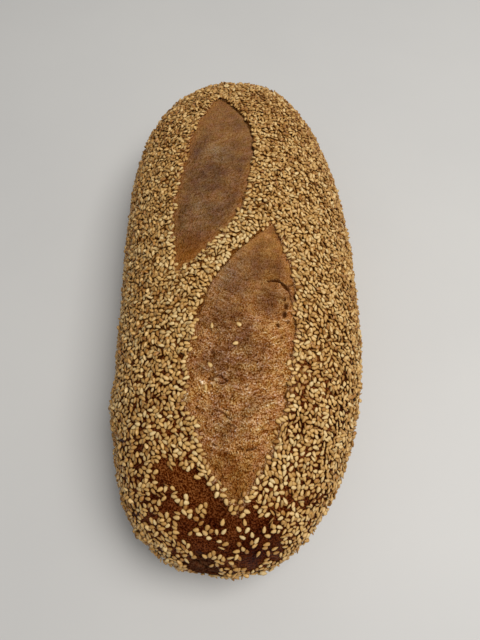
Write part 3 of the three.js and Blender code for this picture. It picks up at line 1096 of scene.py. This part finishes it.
# %% [markdown]
# ## Shared finishes
# Crust and crumb are both baked dough, with the same kind of blotchy browning and fine grain. Their nodes
# could be copied from one material into the other, but a node group keeps each effect in one place: a
# material drops it in and sets its own colours and sizes. A few helpers keep the node code short.

# %% Helpers that add nodes
def feed(tree, socket, value):
    """Links an input to another node's output, or sets its own number or colour."""
    if isinstance(value, bpy.types.NodeSocket):
        tree.links.new(value, socket)
    elif socket.type == "RGBA":
        socket.default_value = (*value, 1)
    else:
        socket.default_value = value


def add_node(tree, kind, values):
    """A node with its named inputs linked or set."""
    node = tree.nodes.new(kind)
    for label, value in values.items():
        feed(tree, node.inputs[label], value)
    return node


def add_noise(tree, scale, detail, roughness=0.55):
    """Noise in the piece's own metres, with this many bumps to a metre."""
    place = tree.nodes.new("ShaderNodeTexCoord").outputs["Object"]
    values = {"Vector": place, "Scale": scale, "Detail": detail, "Roughness": roughness}
    return add_node(tree, "ShaderNodeTexNoise", values).outputs["Fac"]


def add_range(tree, source, low, high, to_low=0.0, to_high=1.0):
    """Maps a value from one range onto another, held at its ends."""
    values = {"Value": source, "From Min": low, "From Max": high, "To Min": to_low, "To Max": to_high}
    return add_node(tree, "ShaderNodeMapRange", values).outputs["Result"]


def add_mix(tree, factor, first, second, blend="MIX"):
    """Mixes two colours; each may be a socket or a fixed colour."""
    node = tree.nodes.new("ShaderNodeMix")
    node.data_type = "RGBA"
    node.blend_type = blend
    for socket, value in ((node.inputs[0], factor), (node.inputs[6], first), (node.inputs[7], second)):
        feed(tree, socket, value)
    return node.outputs[2]


def add_math(tree, operation, first, second):
    """One sum of two values; each may be a socket or a fixed number."""
    node = tree.nodes.new("ShaderNodeMath")
    node.operation = operation
    for socket, value in zip(node.inputs, (first, second)):
        feed(tree, socket, value)
    return node.outputs[0]


print("Helpers for nodes ready")

# %% Helpers for groups and materials
def new_group(name, inputs, outputs):
    """An empty shader node group with named sockets: three numbers make a colour, one makes a value."""
    group = bpy.data.node_groups.new(name, "ShaderNodeTree")
    for label, value in inputs.items():
        color = isinstance(value, tuple)
        kind = "NodeSocketColor" if color else "NodeSocketFloat"
        socket = group.interface.new_socket(label, in_out="INPUT", socket_type=kind)
        socket.default_value = (*value, 1) if color else value
    for label in outputs:
        kind = "NodeSocketColor" if label == "Color" else "NodeSocketFloat"
        group.interface.new_socket(label, in_out="OUTPUT", socket_type=kind)
    return group, group.nodes.new("NodeGroupInput").outputs, group.nodes.new("NodeGroupOutput").inputs


def place_group(tree, group, **values):
    """Puts a node group in a tree, sets or links its inputs, and hands back its outputs."""
    node = tree.nodes.new("ShaderNodeGroup")
    node.node_tree = group
    for label, value in values.items():
        feed(tree, node.inputs[label], value)
    return node.outputs


def new_material(name):
    """A material with its node tree and the inputs of its Principled shader."""
    material = bpy.data.materials.new(name)
    material.use_nodes = True
    return material, material.node_tree, material.node_tree.nodes["Principled BSDF"].inputs


def stored(tree, fact):
    """A fact painted on the points of the piece."""
    node = tree.nodes.new("ShaderNodeAttribute")
    node.attribute_name = fact
    return node.outputs["Fac"]


def paint_over(tree, below, color, fact, most, low=0, high=1):
    """Lays a colour over another, up to this share, where a painted fact goes from low to high."""
    return add_mix(tree, add_range(tree, stored(tree, fact), low, high, 0.0, most), below, color)


def add_bump(tree, shader, height, strength, distance):
    """Small relief from a height, into the shader's normal."""
    bump = add_node(tree, "ShaderNodeBump", {"Strength": strength, "Distance": distance, "Height": height})
    tree.links.new(bump.outputs["Normal"], shader["Normal"])


print("Helpers for materials ready")

# %% Blotchy browning
BLOTCH_DETAIL = 5.0
BLOTCH_LEVEL = (0.36, 0.66)

browning, browning_in, browning_out = new_group(
    "blotchy_browning",
    {"Light": (0.5, 0.3, 0.1), "Dark": (0.1, 0.04, 0.01), "Scale": 90.0, "Shift": 0.0},
    ["Color", "Blotch"],
)
blotch = add_noise(browning, browning_in["Scale"], BLOTCH_DETAIL)
blotch_shift = add_math(browning, "ADD", blotch, browning_in["Shift"])
blotch_mask = add_range(browning, blotch_shift, *BLOTCH_LEVEL)
blotch_color = add_mix(browning, blotch_mask, browning_in["Light"], browning_in["Dark"])
feed(browning, browning_out["Color"], blotch_color)
feed(browning, browning_out["Blotch"], blotch_mask)
print("Group", browning.name, "with", len(browning.nodes), "nodes")

# %% Fine grain of bran
GRAIN_DETAIL = 1.0
GRAIN_ROUGHNESS = 0.6
GRAIN_LEVEL = (0.38, 0.62)
NOISE_SHARE = 0.33  # fine noise sways a speck this far, darker or lighter
RELIEF_SHARE = 0.7  # and the painted grain this far
SPECK_SWING = (2.1, 3.3, 7.2)  # specks multiply red, green and blue by powers of these
DARK_SWING = (1.62, 2.18, 5.9)  # and dark ones by powers of these as well, so they turn redder

grain, grain_in, grain_out = new_group(
    "bran_grain",
    {"Color": (0.3, 0.15, 0.05), "Scale": 900.0, "Contrast": 0.5, "Relief": 0.5},
    ["Color", "Height"],
)
grain_noise = add_noise(grain, grain_in["Scale"], GRAIN_DETAIL, GRAIN_ROUGHNESS)
noise_share = add_range(grain, grain_noise, *GRAIN_LEVEL, -NOISE_SHARE, NOISE_SHARE)
relief_share = add_range(grain, grain_in["Relief"], 0.0, 1.0, -RELIEF_SHARE, RELIEF_SHARE)
speck = add_math(grain, "ADD", noise_share, relief_share)
speck_gain = add_math(grain, "MULTIPLY", speck, grain_in["Contrast"])
dark_gain = add_math(grain, "MINIMUM", speck_gain, 0.0)
speck_color = grain.nodes.new("ShaderNodeCombineColor")
for channel, swing, dark_swing in zip(speck_color.inputs, SPECK_SWING, DARK_SWING):
    both_ways = add_math(grain, "POWER", swing, speck_gain)
    darker = add_math(grain, "POWER", dark_swing, dark_gain)
    feed(grain, channel, add_math(grain, "MULTIPLY", both_ways, darker))
grain_color = add_mix(grain, 1.0, grain_in["Color"], speck_color.outputs["Color"], "MULTIPLY")
feed(grain, grain_out["Color"], grain_color)
feed(grain, grain_out["Height"], add_math(grain, "ADD", speck, 0.5))
print("Group", grain.name, "with", len(grain.nodes), "nodes")

# %% [markdown]
# ## The crust's finish
# Bare crust is dark and reddish brown, with a satin skin that stretched smooth, and dull and floury at the
# pinched end. The stretched skin is lighter, partly as a painted sheen; the fold's floury colour is darkened
# with painted shade, and its creases are painted shade. Under a thick coat of seeds the crust is paler, and
# that colour also paints light into the shaded gaps between the seeds. A painted map could hold that, but
# blotches and grain from noise have no seams, and the facts stored on the points say where each colour goes.

# %% Crust material
CRUST_LIGHT = (0.113, 0.023, 0.0034)
CRUST_DARK = (0.039, 0.005, 0.0007)
STRETCHED_SHEEN_BROWN = (0.145, 0.036, 0.005)  # where the dough stretched, lightened partly as a painted sheen
SHELTERED_BROWN_AND_LIGHT = (0.21, 0.077, 0.011)  # under a thick coat, and painted light in the shaded gaps between seeds
RIM_BROWN = (0.38, 0.172, 0.052)  # crust and crumb share this colour where they meet
# the fold's floury colour, darkened with painted shade where it curves under
FOLD_FLOUR_AND_SHADE = (0.075, 0.037, 0.019)
# painted shade in the fold's creases
CREASE_SHADE = (0.015, 0.005, 0.002)
REDDISH_SHEEN = (1.0, 0.4, 0.14, 1)
SATIN_ROUGHNESS = (0.46, 0.34)  # between and in the dark blotches
FOLD_ROUGHNESS = 0.9

crust_finish, tree, shader = new_material("dark_crust")
browned = place_group(tree, browning, Light=CRUST_LIGHT, Dark=CRUST_DARK, Scale=70.0)
# lighter on the stretched streak, partly a painted sheen
stretched_sheen = paint_over(tree, browned["Color"], STRETCHED_SHEEN_BROWN, "stretched", most=0.8)
# paler under a thick coat, and painted light in the shaded gaps between seeds
paler = paint_over(tree, stretched_sheen, SHELTERED_BROWN_AND_LIGHT, "sheltered", most=0.7)
rimmed = paint_over(tree, paler, RIM_BROWN, "edge", most=0.75, low=0.2, high=0.9)
skin_grain = place_group(tree, grain, Color=rimmed, Scale=1300.0, Contrast=2.6)
# the fold is floury, its colour darkened with painted shade, and its creases get painted shade
floury = add_math(tree, "MULTIPLY", stored(tree, "pinch"), skin_grain["Height"])
dusted = add_mix(tree, floury, skin_grain["Color"], FOLD_FLOUR_AND_SHADE)
feed(tree, shader["Base Color"], add_mix(tree, stored(tree, "crease_and_shade"), dusted, CREASE_SHADE))
satin_skin = add_range(tree, browned["Blotch"], 0, 1, *SATIN_ROUGHNESS)
dull_fold = add_range(tree, stored(tree, "pinch"), 0, 0.5, 0.0, FOLD_ROUGHNESS)
feed(tree, shader["Roughness"], add_math(tree, "MAXIMUM", satin_skin, dull_fold))
shader["Specular IOR Level"].default_value = 0.045
shader["Specular Tint"].default_value = REDDISH_SHEEN
add_bump(tree, shader, skin_grain["Height"], strength=0.7, distance=0.35 * MM)
crust.data.materials.append(crust_finish)
print("Crust finish:", len(tree.nodes), "nodes")

# %% [markdown]
# ## The crumb's finish
# The crumb browned unevenly: purple-brown where it swelled highest, orange-tan towards one side and the near
# tip, with specks of bran all over, and its cracks, pits, pores and the crease under the lifted edge are
# darkened with painted shade. One texture could be stretched over it, but the facts painted on the grid's
# points steer the broad colour better, and noise breaks it up.

# %% Crumb materials
TIP_BROWN = (0.275, 0.1, 0.016)  # the near tip of each slash baked redder
TINT_LIGHT = (1.02, 1.0, 0.74)  # multiplied in, so that small blotches differ in hue
TINT_DARK = (0.98, 0.86, 0.88)
CRUMB_FLOUR = (0.33, 0.245, 0.145)
PALE_CRUMB = (0.46, 0.29, 0.125)
# painted shade in cracks, pits, pores and the crease under the lifted edge
TORN_SHADE = (0.075, 0.017, 0.001)
CRUMB_SHEEN = (1.0, 0.6, 0.3, 1)
CRUMB_ROUGHNESS = (0.9, 0.7)  # low and high in the grain
WARMTH_SHIFT = -0.3  # a warm place leans towards the light colour
FADING_PART = (0.45, 0.9)  # the specks fade between these places from tip to tip


def crumb_material(name, warm, dusky, contrasts):
    """Browned crumb, warm or dusky as painted, with specks that fade from tip to tip."""
    material, tree, shader = new_material(name)
    shift = add_math(tree, "MULTIPLY", stored(tree, "warmth"), WARMTH_SHIFT)
    browned = place_group(tree, browning, Light=warm, Dark=dusky, Scale=75.0, Shift=shift)
    tipped = paint_over(tree, browned["Color"], TIP_BROWN, "along", most=0.85, low=0.2, high=0.07)
    rimmed = paint_over(tree, tipped, RIM_BROWN, "edge", most=0.85, low=0.12, high=0.9)
    tint = place_group(tree, browning, Light=TINT_LIGHT, Dark=TINT_DARK, Scale=240.0)
    tinted = add_mix(tree, 1.0, rimmed, tint["Color"], "MULTIPLY")
    dusted = paint_over(tree, tinted, CRUMB_FLOUR, "floury", most=0.5)
    flaked = paint_over(tree, dusted, PALE_CRUMB, "pale", most=0.8, low=0.15)
    contrast = add_range(tree, stored(tree, "along"), *FADING_PART, *contrasts)
    relief = stored(tree, "grain")
    specked = place_group(tree, grain, Color=flaked, Scale=1500.0, Contrast=contrast, Relief=relief)
    # darkens cracks, pits, pores and the lifted edge's crease with painted shade
    torn = paint_over(tree, specked["Color"], TORN_SHADE, "torn", most=0.95, low=0.05, high=0.65)
    feed(tree, shader["Base Color"], torn)
    feed(tree, shader["Roughness"], add_range(tree, specked["Height"], 0, 1, *CRUMB_ROUGHNESS))
    shader["Specular IOR Level"].default_value = 0.08
    shader["Specular Tint"].default_value = CRUMB_SHEEN
    add_bump(tree, shader, specked["Height"], strength=0.8, distance=0.4 * MM)
    return material


near_finish = crumb_material(
    "near_crumb_brown",
    warm=(0.465, 0.232, 0.083),
    dusky=(0.215, 0.096, 0.038),
    contrasts=(1.25, 0.45),
)
far_finish = crumb_material(
    "far_crumb_brown",
    warm=(0.287, 0.147, 0.063),
    dusky=(0.137, 0.07, 0.039),
    contrasts=(0.5, 0.35),
)
near_crumb.data.materials.append(near_finish)
far_crumb.data.materials.append(far_finish)
print("Crumb finishes:", near_finish.name, "and", far_finish.name)

# %% [markdown]
# ## The seeds' finish
# Toasted sesame is tan and faintly glossy, each seed a little paler or browner than the next and darker at
# its point and round its rim; the brown round its rim and ends is partly its own colour and partly painted
# shade where the sides turn away. A random colour for each object would need thousands of objects. Instead
# one group reads the facts painted on each seed, and five materials give it their colours.

# %% How a seed toasts
TONE_SHARE = 0.3  # how far each fact browns a seed
TIP_SHARE = 0.25
# the rim's brown is partly painted shade
RIM_AND_SHADE_SHARE = 0.85
BLOTCH_SHARE = 0.2
SEED_BLOTCHES = 420.0  # to a metre
SEED_TIP = (0.6, 1.0)  # where each fact begins to brown a seed and where it does so fully
SEED_RIM_AND_SHADE = (0.4, 1.0)
SEED_BLOTCH = (0.4, 0.7)
GLOSS_LEVEL = (0.3, 0.7)
SEED_ROUGHNESS = (0.38, 0.55)

toasting, toasting_in, toasting_out = new_group(
    "toasted_sesame",
    {"Pale": (0.6, 0.4, 0.2), "Brown": (0.4, 0.2, 0.08)},
    ["Color", "Roughness", "Height"],
)
seed_blotch = add_noise(toasting, SEED_BLOTCHES, 2.0)
brownness = add_math(toasting, "MULTIPLY", stored(toasting, "tone"), TONE_SHARE)
for more in (
    add_range(toasting, stored(toasting, "tip"), *SEED_TIP, 0.0, TIP_SHARE),
    add_range(toasting, stored(toasting, "rim"), *SEED_RIM_AND_SHADE, 0.0, RIM_AND_SHADE_SHARE),
    add_range(toasting, seed_blotch, *SEED_BLOTCH, 0.0, BLOTCH_SHARE),
):
    brownness = add_math(toasting, "ADD", brownness, more)
seed_color = add_mix(toasting, brownness, toasting_in["Pale"], toasting_in["Brown"])
feed(toasting, toasting_out["Color"], seed_color)
seed_roughness = add_range(toasting, seed_blotch, *GLOSS_LEVEL, *SEED_ROUGHNESS)
feed(toasting, toasting_out["Roughness"], seed_roughness)
feed(toasting, toasting_out["Height"], seed_blotch)
print("Group", toasting.name, "with", len(toasting.nodes), "nodes")

# %% Seed materials
SEED_COLORS = {
    "sesame_cream": ((0.83, 0.625, 0.31), (0.49, 0.295, 0.085)),
    "sesame_pale": ((0.815, 0.565, 0.246), (0.45, 0.241, 0.054)),
    "sesame_golden": ((0.74, 0.47, 0.164), (0.378, 0.179, 0.031)),
    "sesame_toasted": ((0.6, 0.343, 0.1), (0.296, 0.128, 0.018)),
    "sesame_amber": ((0.465, 0.223, 0.044), (0.233, 0.083, 0.009)),
}
for name, (pale, brown) in SEED_COLORS.items():
    material, tree, shader = new_material(name)
    toasted = place_group(tree, toasting, Pale=pale, Brown=brown)
    feed(tree, shader["Base Color"], toasted["Color"])
    feed(tree, shader["Roughness"], toasted["Roughness"])
    add_bump(tree, shader, toasted["Height"], strength=0.15, distance=0.2 * MM)
    seeds[name].data.materials.append(material)
print("Seed finishes:", ", ".join(SEED_COLORS))

# %% [markdown]
# ## Floor, light and camera
# The loaf lies on a plain pale floor under soft light from above, and the camera looks steeply down from over
# its near end, as a baker leans over it. A sky picture could light it, but one large lamp and an
# even world are simpler and show the same in every view.

# %% Floor
FLOOR_REACH = 3.0  # metres from the middle to each side
FLOOR_GAP = 0.2 * MM  # keeps the floor's face apart from the loaf's base
FLOOR_LIGHT = (0.64, 0.64, 0.63)
FLOOR_DARK = (0.6, 0.6, 0.595)

floor_corners = np.array([[-1, -1, 0], [1, -1, 0], [1, 1, 0], [-1, 1, 0]]) * FLOOR_REACH
floor = make_piece("floor", floor_corners, [[0, 1, 2, 3]])
floor.location.z = -FLOOR_GAP
floor_finish, tree, shader = new_material("pale_floor")
mottled = place_group(tree, browning, Light=FLOOR_LIGHT, Dark=FLOOR_DARK, Scale=3.0)
feed(tree, shader["Base Color"], mottled["Color"])
shader["Roughness"].default_value = 0.5
floor.data.materials.append(floor_finish)
print(f"Floor {2 * FLOOR_REACH:.0f} m wide")

# %% Light
LAMP_PLACE = Vector((0.5, -0.05, 1.2))
LAMP_AIM = Vector((0, 0, 0.03))
LAMP_SIDE = 0.8
LAMP_POWER = 14.0
LAMP_COLOR = (1.0, 0.97, 0.93)
ROOM_COLOR = (1.0, 0.99, 0.97, 1)
ROOM_STRENGTH = 0.27

light = bpy.data.lights.new("window", "AREA")
light.size = LAMP_SIDE
light.energy = LAMP_POWER
light.color = LAMP_COLOR
lamp = bpy.data.objects.new("window", light)
lamp.location = LAMP_PLACE
lamp.rotation_euler = (LAMP_AIM - LAMP_PLACE).to_track_quat("-Z", "Y").to_euler()
bpy.context.scene.collection.objects.link(lamp)
world = bpy.data.worlds.new("soft_room")
world.use_nodes = True
world.node_tree.nodes["Background"].inputs["Color"].default_value = ROOM_COLOR
world.node_tree.nodes["Background"].inputs["Strength"].default_value = ROOM_STRENGTH
bpy.context.scene.world = world
bpy.context.scene.view_settings.view_transform = "Standard"
print("Lamp", round((LAMP_AIM - LAMP_PLACE).length, 2), "m from the loaf")

# %% Camera
CAMERA_PLACE = (1.0 * MM, -138.6 * MM, 266.2 * MM)
CAMERA_PITCH = math.radians(64.46)  # below the horizon
IMAGE_LONG_SIDE = 640
FOCAL_PIXELS = 481

camera_data = bpy.data.cameras.new("camera")
camera_data.sensor_width = 36
camera_data.lens = camera_data.sensor_width * FOCAL_PIXELS / IMAGE_LONG_SIDE
camera_data.clip_start = 0.01
camera = bpy.data.objects.new("camera", camera_data)
camera.location = CAMERA_PLACE
camera.rotation_euler = (math.pi / 2 - CAMERA_PITCH, 0, 0)
bpy.context.scene.collection.objects.link(camera)
bpy.context.scene.camera = camera
print(f"Camera with a {camera_data.lens:.1f} mm lens")

# %% Finish
bpy.context.view_layer.update()
